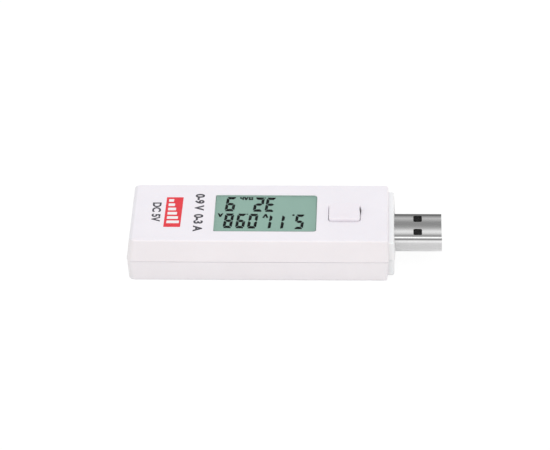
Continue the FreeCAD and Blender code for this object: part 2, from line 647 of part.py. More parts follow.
def socket_contacts():
    """Bent spring strips: each drops out of its slot to a contact crown, then goes back in."""
    strip_t = 0.22
    # underside of the strip, from the rear: x, height from the tongue's underside
    path = [(SOCK_LEG_X + LEG_T, 0.30), (-25.0, 0.30), (-28.3, -0.28), (SOCK_TONGUE + 1.05, 0.26)]
    contacts = []
    for y in PIN_Y:
        low = [Vector(x, y - 0.5, SOCK_TONGUE_Z0 + up) for x, up in path]
        high = [point + Vector(0, 0, strip_t) for point in reversed(low)]
        strip = prism(low + high, (0, 1, 0), 1.0)
        leg = contact_leg(SOCK_LEG_X, y, LEG_Z0, SOCK_TONGUE_Z0 + 0.4)
        contacts.append(strip.fuse(leg).removeSplitter())
    return Part.makeCompound(contacts)


# ----------------------------------------------------------------------------- board, screws
def circuit_board():
    board = rbox(-BOARD_X, BOARD_X, -BOARD_Y, BOARD_Y, BOARD_Z0, BOARD_Z1, 1.0)
    # centres and radius of each set of round holes
    hole_sets = [(BOSSES, 1.0), (SWITCH_PINS, 0.5), (PLUG_PINS + SOCK_PINS, 0.42),
                 (FRAME_PINS, 0.5), ([(x, 0) for x in FOOT_X], 0.40)]
    holes = [cyl(x, y, 0, 9, radius) for centres, radius in hole_sets for x, y in centres]
    holes += [rbox(*tab_rect(tab, 0.2, 0.15), 0, 9, 0.28) for tab in PLUG_TABS + SOCK_TABS]
    return board.cut(holes)


def board_screw():
    """Pan-head screw on the Z axis, head down, with ring-shaped threads and a cross recess."""
    root_r, pitch, thread_z = 0.62, 0.55, 3.9
    # radius, height
    profile = [(0, 1.55), (1.30, 1.55), (1.5, 1.80), (1.5, BOARD_Z0), (0.80, BOARD_Z0),
               (0.80, thread_z)]
    z = thread_z
    while z < 7.4:
        profile += [(root_r, z + 0.15), (SCREW_R, z + 0.35), (root_r, z + 0.55)]
        z += pitch
    profile += [(0.55, z + 0.2), (0, z + 0.75)]
    points = [Vector(radius, 0, height) for radius, height in profile]
    face = Part.Face(Part.makePolygon(points + [points[0]]))
    screw = face.revolve(Vector(0, 0, 0), Vector(0, 0, 1), 360)
    return screw.cut([box(-0.85, 0.85, -0.16, 0.16, 1.0, 2.15),
                      box(-0.16, 0.16, -0.85, 0.85, 1.0, 2.15)])


def board_screws():
    screws = []
    for x, y in BOSSES:
        screw = board_screw()
        screw.translate(Vector(x, y, 0))
        screws.append(screw)
    return Part.makeCompound(screws)


# ----------------------------------------------------------------------------- chips
LEAD_T = 0.15
CHIP_Z0 = BOARD_Z1 + 0.1         # underside of the leaded packages
MCU_HALF, MCU_Z1 = 3.5, BOARD_Z1 + 1.5   # controller: 32-lead flat pack under the display
# Two-sided packages, leads on the +-Y sides:
# centre x, y, size x, y, height, leads a side, lead pitch, lead width
MEMORY = (-7.6, 4.2, 4.9, 3.9, 1.4, 4, 1.27, 0.4)
AMPLIFIER = (-7.6, -4.4, 4.9, 3.9, 1.4, 4, 1.27, 0.4)
REGULATOR = (11.2, 4.6, 2.9, 1.6, 1.0, 3, 0.95, 0.38)


def gull_lead(x, y, dx, dy, width, shoulder_z, reach):
    """Gull-wing lead leaving a package side at (x, y) towards (dx, dy)."""
    def segment(start, end, z0, z1):
        if dx:
            x0, x1 = sorted((x + dx * start, x + dx * end))
            return box(x0, x1, y - width / 2, y + width / 2, z0, z1)
        y0, y1 = sorted((y + dy * start, y + dy * end))
        return box(x - width / 2, x + width / 2, y0, y1, z0, z1)

    bend = 0.35
    shoulder_top = shoulder_z + LEAD_T
    return fuse([segment(0, bend, shoulder_z, shoulder_top),
                 segment(bend - LEAD_T, bend, BOARD_Z1, shoulder_top),
                 segment(bend - LEAD_T, reach, BOARD_Z1, BOARD_Z1 + LEAD_T)]).removeSplitter()


def controller_chip():
    chip = rbox(WIN_X - MCU_HALF, WIN_X + MCU_HALF, -MCU_HALF, MCU_HALF, CHIP_Z0, MCU_Z1, 0.2)
    chip = chip.makeChamfer(0.12, edges_at(chip, MCU_Z1))
    return chip.cut(cyl(WIN_X - 2.6, 2.6, MCU_Z1 - 0.08, MCU_Z1 + 0.5, 0.4))


def controller_leads():
    leads = []
    for i in range(8):
        along = (i - 3.5) * 0.8
        for dx, dy in ((1, 0), (-1, 0), (0, 1), (0, -1)):
            x = WIN_X + (dx * MCU_HALF if dx else along)
            y = dy * MCU_HALF if dy else along
            leads.append(gull_lead(x, y, dx, dy, 0.35, BOARD_Z1 + 0.7, 1.0))
    return Part.makeCompound(leads)


def small_package(chip):
    x, y, size_x, size_y, height = chip[:5]
    top = CHIP_Z0 + height
    body = rbox(x - size_x / 2, x + size_x / 2, y - size_y / 2, y + size_y / 2, CHIP_Z0, top, 0.12)
    return body.makeChamfer(0.1, edges_at(body, top))


def memory_chip():
    return small_package(MEMORY)


def sense_amplifier():
    return small_package(AMPLIFIER)


def voltage_regulator():
    return small_package(REGULATOR)


def small_chip_leads():
    leads = []
    for x, y, _, size_y, height, count, pitch, width in (MEMORY, AMPLIFIER, REGULATOR):
        for i in range(count):
            lead_x = x + (i - (count - 1) / 2) * pitch
            for side in (1, -1):
                leads.append(gull_lead(lead_x, y + side * size_y / 2, 0, side, width,
                                       CHIP_Z0 + height * 0.45, 0.95))
    return Part.makeCompound(leads)


# ----------------------------------------------------------------------------- other board parts
SHUNT_X = (-17.8, -14.7)
SHUNT_Y = 2.35                   # half length between the end caps
CRYSTAL_X, CRYSTAL_Y = 8.2, -5.2   # lead end of the can, and its axis
CRYSTAL_AXIS_Z = BOARD_Z1 + 1.02
CHIP_CAP_H, CHIP_RES_H = 0.8, 0.45
# Chip capacitors and resistors, 1.6 x 0.8 mm: centre x, y, turn in degrees
CAPACITORS = [(-1.5, 6.9, 0), (1.7, 6.9, 0), (4.9, 6.9, 0), (-1.5, -6.9, 0), (1.7, -6.9, 0),
              (14.2, 1.0, 90), (23.0, 7.2, 0), (23.0, -7.2, 0)]
RESISTORS = [(8.0, 0.0, 90), (9.6, 0.0, 90), (11.2, 0.0, 90), (-3.6, 0.0, 90),
             (-10.9, 0.0, 90), (-9.3, 0.0, 90), (4.9, -6.9, 0), (-16.2, 6.2, 0),
             (-16.2, -6.2, 0), (7.6, 6.9, 0)]


def shunt_resistor():
    return rbox(*SHUNT_X, -SHUNT_Y, SHUNT_Y, BOARD_Z1 + 0.05, BOARD_Z1 + 0.65, 0.1)


def shunt_end_caps():
    return Part.makeCompound([rbox(*SHUNT_X, *on_side(side, SHUNT_Y, SHUNT_Y + 0.8),
                                   BOARD_Z1, BOARD_Z1 + 0.7, 0.1) for side in SIDES])


def timing_crystal():
    """Small can lying on the board."""
    start = Vector(CRYSTAL_X, CRYSTAL_Y, CRYSTAL_AXIS_Z)
    can = Part.makeCylinder(1.0, 6.0, start, Vector(1, 0, 0))
    return can.makeFillet(0.25, [e for e in can.Edges if e.Curve.TypeId == "Part::GeomCircle"
                                 and e.CenterOfMass.x > 14])


def crystal_leads():
    leads = []
    half, end_x = 0.13, 6.75
    for side in SIDES:
        y = CRYSTAL_Y + side * 0.35
        top = CRYSTAL_AXIS_Z + half
        wire = box(end_x, CRYSTAL_X, y - half, y + half, CRYSTAL_AXIS_Z - half, top)
        down = box(end_x, end_x + 2 * half, y - half, y + half, BOARD_Z1, top)
        leads.append(wire.fuse(down).removeSplitter())
    return Part.makeCompound(leads)


def placed(block, place):
    """Turn a block about Z and set it on the board."""
    x, y, turn = place
    block.rotate(Vector(0, 0, 0), Vector(0, 0, 1), turn)
    block.translate(Vector(x, y, BOARD_Z1))
    return block


def chip_bodies(places, height):
    return Part.makeCompound([placed(box(-0.5, 0.5, -0.4, 0.4, 0.02, height - 0.02), place)
                              for place in places])


def chip_capacitors():
    return chip_bodies(CAPACITORS, CHIP_CAP_H)


def chip_resistors():
    return chip_bodies(RESISTORS, CHIP_RES_H)


def chip_end_caps():
    return Part.makeCompound([
        placed(box(*on_side(side, 0.5, 0.8), -0.41, 0.41, 0, height), place)
        for places, height in ((CAPACITORS, CHIP_CAP_H), (RESISTORS, CHIP_RES_H))
        for place in places for side in SIDES])


# ----------------------------------------------------------------------------- solder
def pin_joint(x, y, top_r, leg):
    """Cone under the board round a leg."""
    z0 = 1.95
    joint = Part.makeCone(0.30, top_r, BOARD_Z0 - z0, Vector(x, y, z0), Vector(0, 0, 1))
    return joint.cut(leg)


def tab_joint(tab):
    joint = frustum(tab_rect(tab, 0.15, 0.18), 1.98, tab_rect(tab, 0.45, 0.5), BOARD_Z0)
    return joint.cut(box(*tab_rect(tab), 0, 9))


def solder_joints():
    joints = [pin_joint(x, y, 0.75, terminal(x, y, 0, 9)) for x, y in SWITCH_PINS]
    for pins, leg_x in ((PLUG_PINS, PLUG_LEG_X), (SOCK_PINS, SOCK_LEG_X)):
        joints += [pin_joint(x, y, 0.70, contact_leg(leg_x, y, 0, 9)) for x, y in pins]
    joints += [tab_joint(tab) for tab in PLUG_TABS + SOCK_TABS]
    return Part.makeCompound(joints)


# ----------------------------------------------------------------------------- build and save
PIECES = [
    upper_shell, lower_shell,
    display_window, window_adhesive, display_front_polariser, display_front_glass,
    display_rear_glass, display_reflector, display_frame, elastomer_strips,
    key_cap, switch_base, switch_cover, switch_plunger, switch_dome, switch_terminals,
    plug_shell, plug_insulator, plug_contacts,
    socket_shell, socket_insulator, socket_contacts,
    circuit_board, board_screws,
    controller_chip, controller_leads, memory_chip, sense_amplifier, voltage_regulator,
    small_chip_leads, shunt_resistor, shunt_end_caps, timing_crystal, crystal_leads,
    chip_capacitors, chip_resistors, chip_end_caps, solder_joints,
]

os.makedirs("parts", exist_ok=True)
for build in PIECES:
    save(build.__name__, build())
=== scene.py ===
"""A small plug-in voltage and current meter, lying flat on a white floor.

Its length runs along X with the plug at the +X end, and its top face looks along +Z.
The display and the badge lie on the top and are made to be read from the +Y side.
Sizes are in millimetres, and MM turns them into metres.
"""
import json
import math

import bmesh
import bpy
from mathutils import Matrix, Vector


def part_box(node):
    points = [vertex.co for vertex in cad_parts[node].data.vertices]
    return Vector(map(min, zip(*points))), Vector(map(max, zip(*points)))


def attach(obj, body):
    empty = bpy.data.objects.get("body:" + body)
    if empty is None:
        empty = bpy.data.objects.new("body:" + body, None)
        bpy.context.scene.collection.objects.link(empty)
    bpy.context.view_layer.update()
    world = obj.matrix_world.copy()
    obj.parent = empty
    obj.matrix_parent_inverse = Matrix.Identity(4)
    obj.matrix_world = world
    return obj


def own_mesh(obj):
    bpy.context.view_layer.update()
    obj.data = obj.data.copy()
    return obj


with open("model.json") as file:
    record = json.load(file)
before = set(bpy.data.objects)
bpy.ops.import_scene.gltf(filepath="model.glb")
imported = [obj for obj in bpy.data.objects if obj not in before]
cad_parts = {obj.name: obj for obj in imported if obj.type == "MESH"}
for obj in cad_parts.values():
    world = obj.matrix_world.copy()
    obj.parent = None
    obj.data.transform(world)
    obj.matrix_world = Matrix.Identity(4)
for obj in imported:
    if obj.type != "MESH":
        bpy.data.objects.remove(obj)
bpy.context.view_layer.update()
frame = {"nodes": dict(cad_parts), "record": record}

MM = 0.001
pieces = frame["nodes"]
scene = bpy.context.scene


# ------------------------------------------------------------------ places taken from the CAD
def box_mm(name):
    """The low and high corners of a piece."""
    low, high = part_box(name)
    return [v * 1000 for v in low], [v * 1000 for v in high]


window_low, window_high = box_mm("display_window")
WINDOW_X = (window_low[0] + window_high[0]) / 2     # middle of the display
BODY_TOP = box_mm("upper_shell")[1][2]              # top face of the body
FILM_TOP = box_mm("display_front_polariser")[1][2]  # the segments lie here
PLUG_TOP = box_mm("plug_shell")[1][2]


# ------------------------------------------------------------------ colours
def grey(value):
    return (value, value, value)


def scaled(colour, *gains):
    """A colour times one gain, or times one gain for each channel."""
    if len(gains) == 1:
        gains *= 3
    return tuple(c * gain for c, gain in zip(colour, gains))


def srgb(*channels):
    """Linear colour from 0-255 sRGB channels."""
    return tuple(((v / 255) / 12.92) if v / 255 <= 0.04045
                 else (((v / 255) + 0.055) / 1.055) ** 2.4 for v in channels)


# ------------------------------------------------------------------ node graphs
class Graph:
    """The node tree of a material or world. Each method adds a node and returns its output."""

    def __init__(self, owner, output="OutputMaterial"):
        owner.use_nodes = True
        self.owner = owner
        self.tree = owner.node_tree
        self.tree.nodes.clear()
        self.end = self.tree.nodes.new("ShaderNode" + output)

    def add(self, kind, inputs={}, output=0, **settings):
        """Inputs are sockets to link or values to set, with colours given without alpha.

        Output None returns all the outputs of the node.
        """
        node = self.tree.nodes.new("ShaderNode" + kind)
        # settings come first, since they decide which sockets a name finds
        for key, value in settings.items():
            setattr(node, key, value)
        for key, value in inputs.items():
            socket = node.inputs[key]
            if isinstance(value, bpy.types.NodeSocket):
                self.tree.links.new(value, socket)
            else:
                socket.default_value = (*value, 1) if socket.type == "RGBA" else value
        return node.outputs if output is None else node.outputs[output]

    def finish(self, shader):
        self.tree.links.new(shader, self.end.inputs["Surface"])
        return self.owner

    def place(self):
        """Object coordinates in metres."""
        return self.add("TexCoord", output="Object")

    def coords(self, stretch=(1, 1, 1)):
        """Object coordinates in millimetres, optionally stretched."""
        scale = tuple(1000 * s for s in stretch)
        return self.add("Mapping", {"Vector": self.place(), "Scale": scale})

    def xyz(self, vector):
        return self.add("SeparateXYZ", {"Vector": vector}, output=None)

    def noise(self, vector, scale, detail=2.0, roughness=0.5):
        return self.add("TexNoise", {"Vector": vector, "Scale": scale, "Detail": detail,
                                     "Roughness": roughness})

    def ramp(self, factor, stops):
        colour = self.add("ValToRGB", {"Fac": factor})
        elements = colour.node.color_ramp.elements
        while len(elements) < len(stops):
            elements.new(0.5)
        for element, (position, stop) in zip(elements, stops):
            element.position = position
            element.color = (*stop, 1)
        return colour

    def two_tone(self, factor, dark, light, start=0.30, end=0.70):
        return self.ramp(factor, [(start, dark), (end, light)])

    def remap(self, value, start=0.0, end=1.0, low=0.0, high=1.0):
        """Takes start..end to low..high, held within them."""
        return self.add("MapRange", {"Value": value, "From Min": start, "From Max": end,
                                     "To Min": low, "To Max": high})

    def calc(self, operation, *values):
        return self.add("Math", dict(enumerate(values)), operation=operation)

    def blend(self, first, second, factor, blend_type="MIX"):
        return self.add("Mix", {"A": first, "B": second, "Factor": factor}, "Result",
                        data_type="RGBA", blend_type=blend_type)

    def multiply(self, base, tint, factor=1.0):
        return self.blend(base, tint, factor, "MULTIPLY")

    def bump(self, height, strength, depth_mm):
        return self.add("Bump", {"Height": height, "Strength": strength,
                                 "Distance": depth_mm * MM})

    def principled(self, inputs):
        return self.add("BsdfPrincipled", inputs)

    def mix_shader(self, factor, first, second):
        return self.add("MixShader", {"Fac": factor, 1: first, 2: second})


def material_graph(name):
    return Graph(bpy.data.materials.new(name))


# ------------------------------------------------------------------ materials
def surface(name, tones, mottle, roughness, metallic=0.0, grain=20.0, grain_mm=0.004,
            stretch=(1, 1, 1), specular=0.5):
    """A general moulded or metal surface.

    tones: dark and light colour; mottle and grain: noise scales of the colour and the relief;
    roughness: its low and high; grain_mm: depth of the relief.
    """
    graph = material_graph(name)
    coords = graph.coords(stretch)
    colour = graph.two_tone(graph.noise(coords, mottle, detail=3.0), *tones)
    wear = graph.noise(coords, mottle * 2.7)
    relief = graph.noise(coords, grain, detail=3.0, roughness=0.6)
    return graph.finish(graph.principled({
        "Base Color": colour,
        "Roughness": graph.remap(wear, low=roughness[0], high=roughness[1]),
        "Normal": graph.bump(relief, strength=0.5, depth_mm=grain_mm),
        "Metallic": metallic,
        "Specular IOR Level": specular,
    }))


def shell_white(name, tint=(1.0, 1.0, 1.0)):
    """Satin white moulding with faint mottling, with painted light and shade by where it lies and
    which way it faces.
    """
    graph = material_graph(name)
    calc, remap, multiply = graph.calc, graph.remap, graph.multiply
    coords = graph.coords()
    colour = graph.two_tone(graph.noise(coords, scale=0.11, detail=3.0, roughness=0.55),
                            dark=scaled((0.862, 0.836, 0.882), *tint),
                            light=scaled((0.886, 0.860, 0.906), *tint))
    facing = graph.xyz(graph.add("NewGeometry", output="Normal"))
    point = graph.place()
    place = graph.xyz(point)

    # painted light: the outer sides are tinted a touch warmer than the top by which way they
    # face; the openings are not
    side = remap(facing["Z"], start=0.25, end=0.9, low=1.0, high=0.0)
    at_end, at_long_side = [
        calc("GREATER_THAN", calc("ABSOLUTE", place[axis]), limit * MM)
        for axis, limit in (("X", 30.0), ("Y", 12.5))]
    outer = calc("MAXIMUM", at_end, at_long_side)
    colour = multiply(colour, (1.0, 0.982, 0.948), calc("MULTIPLY", side, outer))

    # painted light on the collar round the plug: it is tinted a touch cooler, on its top as on
    # its sides, and its top is tinted lighter than its sides
    collar = remap(place["X"], start=33.38 * MM, end=33.52 * MM)
    upward = remap(facing["Z"], start=0.35, end=0.80)
    collar_painted_tint = graph.blend((0.976, 1.024, 1.010), (1.012, 1.057, 1.016), upward)
    colour = multiply(colour, collar_painted_tint, collar)

    # the two ends and the upper rim of the -X end sit in softer light than the long sides
    facing_minus_x = remap(facing["X"], start=0.0, end=-0.85)
    facing_plus_x = remap(facing["X"], start=0.0, end=0.85, high=0.15)
    rim = calc("MULTIPLY", remap(place["X"], start=-31.58 * MM, end=-31.93 * MM),
               remap(place["Z"], start=10.9 * MM, end=11.3 * MM))
    end = calc("MAXIMUM", calc("MAXIMUM", facing_minus_x, facing_plus_x), rim)
    end = calc("MULTIPLY", calc("MULTIPLY", end, at_end), calc("SUBTRACT", 1.0, collar))

    # the rounded top edges along the sides catch the light
    shine = graph.ramp(facing["Z"], [(0.12, grey(0.0)), (0.40, grey(1.0)),
                                     (0.80, grey(1.0)), (0.97, grey(0.0))])
    shine = calc("MULTIPLY", shine, calc("SUBTRACT", 1.0, end))
    colour = multiply(colour, (1.066, 1.060, 1.045), shine)
    colour = multiply(colour, (0.89, 0.905, 0.895), end)

    # the rounded lower edges are in shade
    under = remap(facing["Z"], start=-0.10, end=-0.60)
    colour = multiply(colour, (0.86, 0.88, 0.89), under)

    # painted shade deep in the key's gap: an ellipsoid given by its centre and half sizes
    gap_shade_centre = (26.07 * MM, 0.95 * MM, 12.0 * MM)
    per_half_size = (1 / (0.34 * MM), 1 / (2.0 * MM), 1 / (2.0 * MM))
    offset = graph.add("VectorMath", {0: point, 1: gap_shade_centre}, operation="SUBTRACT")
    offset = graph.add("VectorMath", {0: offset, 1: per_half_size}, operation="MULTIPLY")
    distance = graph.add("VectorMath", {0: offset}, "Value", operation="LENGTH")
    gap_shade = graph.ramp(distance, [(0.35, grey(1.0)), (1.0, grey(0.0))])
    colour = multiply(colour, (0.10, 0.10, 0.11), gap_shade)

    # tiny specks of the spark-eroded texture
    specks = graph.two_tone(graph.noise(coords, scale=9.0, roughness=0.7),
                            dark=grey(0.965), light=grey(1.0), end=0.62)
    colour = multiply(colour, specks, factor=0.6)
    relief = graph.noise(coords, scale=7.0, detail=3.0, roughness=0.65)
    return graph.finish(graph.principled({
        "Base Color": colour,
        "Roughness": remap(graph.noise(coords, scale=1.3), low=0.36, high=0.48),
        "Normal": graph.bump(relief, strength=0.30, depth_mm=0.006),
        "Specular IOR Level": 0.35,
        "Subsurface Weight": 0.06,
        "Subsurface Radius": (0.0012, 0.0010, 0.0009),
        "Subsurface Scale": 0.4,
    }))


def clear_window(name, edge=None):
    """Polished acrylic with a weak sheen: refracts for the eye, lets light straight through.

    With an edge colour, the upright rim glows in that colour for the eye: painted light standing
    for a lit frosted rim.
    """
    graph = material_graph(name)
    calc = graph.calc
    refraction = graph.add("BsdfRefraction", {"IOR": 1.46, "Roughness": 0.0,
                                              "Color": (0.985, 0.995, 0.99)})
    coords = graph.coords()
    smears = graph.noise(coords, scale=0.6, detail=3.0)
    gloss = graph.add("BsdfGlossy", {"Roughness": graph.remap(smears, low=0.03, high=0.07)})
    fresnel = graph.add("Fresnel", {"IOR": 1.17})
    geometry = graph.add("NewGeometry", output=None)
    front = calc("SUBTRACT", 1.0, geometry["Backfacing"])
    pane = graph.mix_shader(calc("MULTIPLY", fresnel, front), refraction, gloss)

    clear = graph.add("BsdfTransparent", {"Color": (0.97, 0.99, 0.98)})
    ray = graph.add("LightPath", output=None)
    lighting_ray = calc("MAXIMUM", ray["Is Shadow Ray"], ray["Is Diffuse Ray"])
    shader = graph.mix_shader(lighting_ray, pane, clear)
    if edge:
        tilt = calc("ABSOLUTE", graph.xyz(geometry["True Normal"])["Z"])
        upright = calc("LESS_THAN", tilt, 0.35)
        seen_rim = calc("MULTIPLY", upright, calc("SUBTRACT", 1.0, lighting_ray))
        rim_colour = graph.two_tone(graph.noise(coords, scale=5.0),
                                    dark=scaled(edge, 0.92), light=edge)
        # painted light: the seen rim glows in the edge colour
        rim = graph.add("Emission", {"Color": rim_colour})
        shader = graph.mix_shader(seen_rim, shader, rim)
    return graph.finish(shader)


FILM_PAINTED_GLOW = 0.98        # brightness of the film's painted glow, which evens out its shade near the window's edges
FILM_PAINTED_GLOW_SHARE = 0.6   # how much of the film's look is that painted glow


def display_film(name):
    """Reflective grey-green display film with a fine grain, partly a painted glow in its own
    colour.
    """
    graph = material_graph(name)
    coords = graph.coords()
    colour = graph.two_tone(graph.noise(coords, scale=0.16, detail=3.0, roughness=0.6),
                            dark=(0.301, 0.456, 0.395), light=(0.317, 0.476, 0.414), end=0.72)
    grain = graph.noise(coords, scale=7.0, roughness=0.7)
    grain_tone = graph.two_tone(grain, dark=grey(0.93), light=grey(1.0))
    colour = graph.multiply(colour, grain_tone, factor=0.8)
    film = graph.principled({
        "Base Color": colour,
        "Roughness": 0.55,
        "Normal": graph.bump(grain, strength=0.25, depth_mm=0.003),
        "Specular IOR Level": 0.1,
    })
    # painted glow in the film's own colour, evening out its shade under the window's edges
    glow = graph.add("Emission", {"Color": graph.multiply(colour, grey(FILM_PAINTED_GLOW))})
    return graph.finish(graph.mix_shader(FILM_PAINTED_GLOW_SHARE, film, glow))


def bands(gain, stops):
    """Ramp stops from (position, sRGB grey) pairs, brightened by a gain."""
    return [(position, scaled(srgb(*grey(value)), gain)) for position, value in stops]


PLUG_HALF_WIDTH = 6.0    # reach of the top bands either side of the middle
PLUG_SIDE_HEIGHT = 4.5   # reach of the side bands below the plug's top
# painted reflections across the top, from +Y to -Y
TOP_REFLECTION_BANDS = bands(1.15, (
    (0.000, 130), (0.045, 98), (0.10, 100), (0.144, 144), (0.186, 170), (0.2275, 187),
    (0.27, 176), (0.312, 163), (0.353, 149), (0.395, 138), (0.479, 137), (0.521, 142),
    (0.5625, 150), (0.604, 162), (0.647, 179), (0.688, 200), (0.73, 221), (0.772, 229),
    (0.813, 223), (0.855, 208), (0.8975, 177), (0.939, 144), (0.975, 142)))
# painted reflections down the sides, from the top
SIDE_REFLECTION_BANDS = bands(1.12, (
    (0.00, 130), (0.15, 128), (0.18, 132), (0.227, 207), (0.293, 235), (0.36, 220),
    (0.427, 203), (0.55, 201), (0.80, 203), (0.87, 216), (0.94, 240), (1.0, 250)))
# painted highlight and reflections on the rounded edge between top and side, by how far the
# surface faces up
EDGE_HIGHLIGHT_BANDS = bands(1.20, (
    (0.00, 128), (0.18, 140), (0.32, 185), (0.46, 236), (0.58, 254), (0.68, 252),
    (0.78, 190), (0.86, 146), (1.0, 142)))


def plug_metal(name):
    """Nickel-plated sheet drawn along X, with painted reflections in long soft bands across its
    width and down its sides, and a painted highlight on its rounded edges.
    """
    graph = material_graph(name)
    place = graph.xyz(graph.place())
    across = graph.remap(place["Y"], start=PLUG_HALF_WIDTH * MM, end=-PLUG_HALF_WIDTH * MM)
    top = graph.ramp(across, TOP_REFLECTION_BANDS)
    down = graph.remap(place["Z"], start=PLUG_TOP * MM, end=(PLUG_TOP - PLUG_SIDE_HEIGHT) * MM)
    side = graph.ramp(down, SIDE_REFLECTION_BANDS)

    facing = graph.xyz(graph.add("NewGeometry", output="Normal"))
    level = graph.calc("ABSOLUTE", facing["Z"])
    flat_top = graph.calc("GREATER_THAN", level, 0.985)
    side_or_under = graph.calc("LESS_THAN", facing["Z"], 0.02)
    colour = graph.blend(graph.ramp(level, EDGE_HIGHLIGHT_BANDS), side, side_or_under)
    colour = graph.blend(colour, top, flat_top)

    drawing = graph.noise(graph.coords(stretch=(0.06, 3.0, 3.0)),
                          scale=3.0, detail=4.0, roughness=0.65)
    line_tone = graph.two_tone(drawing, dark=grey(0.93), light=grey(1.0))
    return graph.finish(graph.principled({
        "Base Color": graph.multiply(colour, line_tone, factor=0.7),
        "Metallic": 1.0,
        "Roughness": graph.remap(drawing, low=0.20, high=0.34),
        "Normal": graph.bump(drawing, strength=0.12, depth_mm=0.004),
    }))


def board_green(name):
    """Solder mask over copper tracks and woven laminate."""
    graph = material_graph(name)
    coords = graph.coords()
    tracks = graph.add("TexBrick", {
        "Vector": coords,
        "Scale": 1.0,
        "Brick Width": 5.5,
        "Row Height": 0.9,
        "Mortar Size": 0.14,
        "Color1": (0.018, 0.115, 0.050),
        "Color2": (0.022, 0.145, 0.062),
        "Mortar": (0.045, 0.240, 0.095),
    }, output=None, offset=0.37)
    mottling = graph.two_tone(graph.noise(coords, scale=0.9, detail=3.0),
                              dark=grey(0.82), light=grey(1.0))
    return graph.finish(graph.principled({
        "Base Color": graph.multiply(tracks["Color"], mottling),
        "Normal": graph.bump(tracks["Fac"], strength=0.4, depth_mm=0.03),
        "Roughness": 0.32,
    }))


def striped_rubber(name):
    """Alternating conductive and insulating layers along X."""
    graph = material_graph(name)
    layers = graph.add("TexWave", {"Vector": graph.coords(), "Scale": 1.6, "Distortion": 0.15},
                       "Fac", wave_type="BANDS", bands_direction="X")
    return graph.finish(graph.principled({
        "Base Color": graph.two_tone(layers, dark=(0.02, 0.02, 0.022), light=(0.42, 0.42, 0.44),
                                     start=0.45, end=0.55),
        "Roughness": 0.6,
        "Normal": graph.bump(layers, strength=0.3, depth_mm=0.02),
    }))


GOLD_START_X = 43.3    # the plug contacts are gold beyond this
GOLD_FADE = 0.2        # half the length over which the gold sets in


def tipped_contact(name):
    """Contact strip with a gold tip at its +X end; the stock behind is painted dark, a painted
    shade for the contact lying in shadow under the plug's windows.
    """
    graph = material_graph(name)
    plated = graph.remap(graph.xyz(graph.place())["X"], start=(GOLD_START_X - GOLD_FADE) * MM,
                         end=(GOLD_START_X + GOLD_FADE) * MM)
    mottling = graph.noise(graph.coords(stretch=(0.2, 1, 1)), scale=2.5, detail=3.0)
    gold = graph.two_tone(mottling, dark=(0.72, 0.48, 0.16), light=(0.88, 0.64, 0.28))
    # painted shade: the stock behind the gold is near black for the shadow it lies in
    painted_shade_stock = graph.two_tone(mottling, dark=grey(0.030), light=grey(0.050))
    return graph.finish(graph.principled({
        "Base Color": graph.blend(painted_shade_stock, gold, plated),
        "Metallic": plated,
        "Roughness": graph.remap(plated, low=0.55, high=0.24),
        "Normal": graph.bump(mottling, strength=0.3, depth_mm=0.004),
    }))


def greys(dark, light):
    return grey(dark), grey(light)


# material slot, the function that builds it, its options
MATERIALS = (
    ("housing_white", shell_white, {}),
    ("key_white", shell_white, dict(tint=(1.0, 0.985, 0.99))),
    ("window_clear", clear_window, dict(edge=srgb(150, 176, 166))),
    ("adhesive_dark", surface, dict(tones=greys(0.03, 0.05), mottle=1.5,
                                    roughness=(0.7, 0.85))),
    ("display_film", display_film, {}),
    ("display_glass", clear_window, {}),
    ("display_back_film", surface, dict(tones=greys(0.62, 0.72), mottle=2.0,
                                        roughness=(0.35, 0.45), metallic=0.8)),
    ("frame_plastic", surface, dict(tones=((0.74, 0.74, 0.70), (0.80, 0.80, 0.77)), mottle=0.4,
                                    roughness=(0.45, 0.55))),
    ("elastomer", striped_rubber, {}),
    ("board_laminate", board_green, {}),
    ("chip_black", surface, dict(tones=greys(0.016, 0.026), mottle=3.0, roughness=(0.45, 0.6),
                                 grain=14, grain_mm=0.01)),
    ("tinned_metal", surface, dict(tones=greys(0.60, 0.72), mottle=2.0, roughness=(0.25, 0.4),
                                   metallic=1.0)),
    ("plug_nickel", plug_metal, {}),
    ("contact_gold", surface, dict(tones=((0.72, 0.48, 0.16), (0.86, 0.62, 0.26)), mottle=1.5,
                                   roughness=(0.18, 0.32), metallic=1.0)),
    ("insulator_black", surface, dict(tones=greys(0.018, 0.030), mottle=1.2,
                                      roughness=(0.40, 0.55), grain=10, grain_mm=0.006)),
    ("screw_steel", surface, dict(tones=greys(0.45, 0.58), mottle=2.5, roughness=(0.25, 0.4),
                                  metallic=1.0, stretch=(1, 1, 4))),
    ("solder", surface, dict(tones=greys(0.58, 0.74), mottle=1.8, roughness=(0.16, 0.32),
                             metallic=1.0, grain=4, grain_mm=0.02)),
    ("capacitor_ceramic", surface, dict(tones=((0.42, 0.28, 0.17), (0.50, 0.35, 0.22)),
                                        mottle=2.0, roughness=(0.45, 0.6))),
    ("resistor_black", surface, dict(tones=greys(0.015, 0.03), mottle=3.0,
                                     roughness=(0.2, 0.35))),
    ("shunt_body", surface, dict(tones=greys(0.03, 0.05), mottle=2.0, roughness=(0.5, 0.65))),
    ("crystal_can", surface, dict(tones=greys(0.58, 0.70), mottle=1.5, roughness=(0.2, 0.32),
                                  metallic=1.0, stretch=(0.2, 2, 2))),
    ("switch_steel", surface, dict(tones=greys(0.60, 0.70), mottle=1.5, roughness=(0.22, 0.36),
                                   metallic=1.0, stretch=(0.3, 2, 2))),
    ("plunger_black", surface, dict(tones=greys(0.018, 0.03), mottle=2.0,
                                    roughness=(0.35, 0.5))),
)
materials = {name: build(name, **options) for name, build, options in MATERIALS}

for part in frame["record"]["subparts"]:
    piece = pieces[part["node"]]
    material = materials[part["material_slot"]]
    if not piece.material_slots:
        piece.data.materials.append(material)
    for slot in piece.material_slots:
        slot.link = "OBJECT"
        slot.material = material

